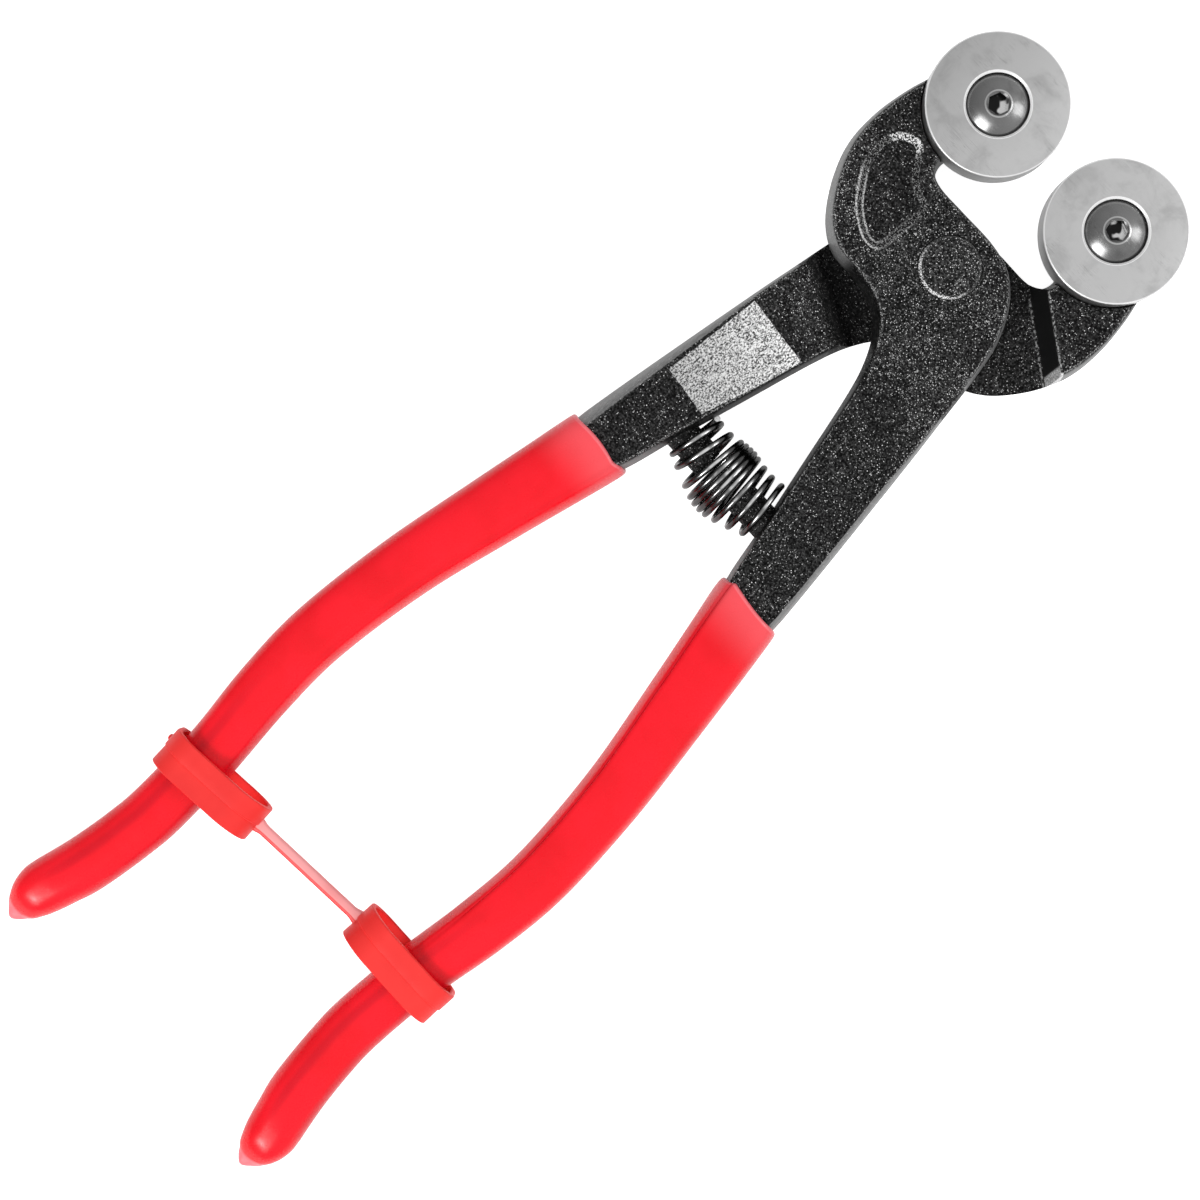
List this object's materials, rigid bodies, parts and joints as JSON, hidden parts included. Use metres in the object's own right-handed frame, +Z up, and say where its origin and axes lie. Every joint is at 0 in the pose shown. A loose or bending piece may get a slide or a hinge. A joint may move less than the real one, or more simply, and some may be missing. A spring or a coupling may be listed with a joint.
{
  "type": "mosaic glass nippers",
  "caption": "Hand nippers whose hard round cutting wheels nip mosaic glass; lapped forged arms on a pivot rivet, return spring, dipped grips and a retaining strap.",
  "frame": {"origin": "on the pivot axis, at the back face of the head, where the tool lies on a table", "axes": "+Y from the pivot toward the cutting wheels, +Z up out of the front face that carries the wheels, +X to the right of the front view"},
  "size_m": [0.06, 0.2045, 0.0165],
  "materials": {
    "black_forging": "fine wrinkle powder coat",
    "dark_screw": "black oxide, glossy",
    "wheel_carbide": "ground satin",
    "spring_wire": "black oxide wire, glossy",
    "red_grip": "glossy dipped vinyl",
    "red_strap": "satin moulded plastic"
  },
  "bodies": {
    "back_arm": {"back_arm": "black_forging", "left_grip": "red_grip", "left_spring_peg": "black_forging", "right_wheel_screw": "dark_screw", "pivot_rivet": "dark_screw", "return_spring": "spring_wire"},
    "front_arm": {"front_arm": "black_forging", "right_grip": "red_grip", "right_spring_peg": "black_forging", "left_wheel_screw": "dark_screw"},
    "left_wheel": {"left_wheel": "wheel_carbide"},
    "right_wheel": {"right_wheel": "wheel_carbide"},
    "left_ring": {"left_strap_ring": "red_strap"},
    "right_ring": {"right_strap_ring": "red_strap", "strap_tie": "red_strap"}
  },
  "joints": [
    {"name": "pivot", "type": "hinge", "parent": "back_arm", "child": "front_arm", "pos_m": [0, 0, 0.006], "axis": [0, 0, 1], "range_deg": [-7, 0], "stiffness_Nm_per_rad": 3.2, "springref_deg": 4.93, "deforming": ["return_spring"]},
    {"name": "left_wheel_turn", "type": "hinge", "parent": "front_arm", "child": "left_wheel", "pos_m": [-0.013, 0.0214, 0.0126], "axis": [0, 0, 1], "continuous": true},
    {"name": "right_wheel_turn", "type": "hinge", "parent": "back_arm", "child": "right_wheel", "pos_m": [0.013, 0.0214, 0.0126], "axis": [0, 0, 1], "continuous": true},
    {"name": "left_ring_shift", "type": "slide", "parent": "back_arm", "child": "left_ring", "axis": [-1, 0, 0], "range_m": [0, 0.006]},
    {"name": "strap_bend", "type": "hinge", "parent": "left_ring", "child": "right_ring", "pos_m": [0, -0.0981, 0.0062], "axis": [0, 0, 1], "range_deg": [-7, 0], "deforming": ["strap_tie"]}
  ],
  "couplings": [
    {"joint": "left_ring_shift", "follows": "pivot", "m_per_rad": -0.0491},
    {"joint": "strap_bend", "follows": "pivot", "ratio": 1}
  ]
}
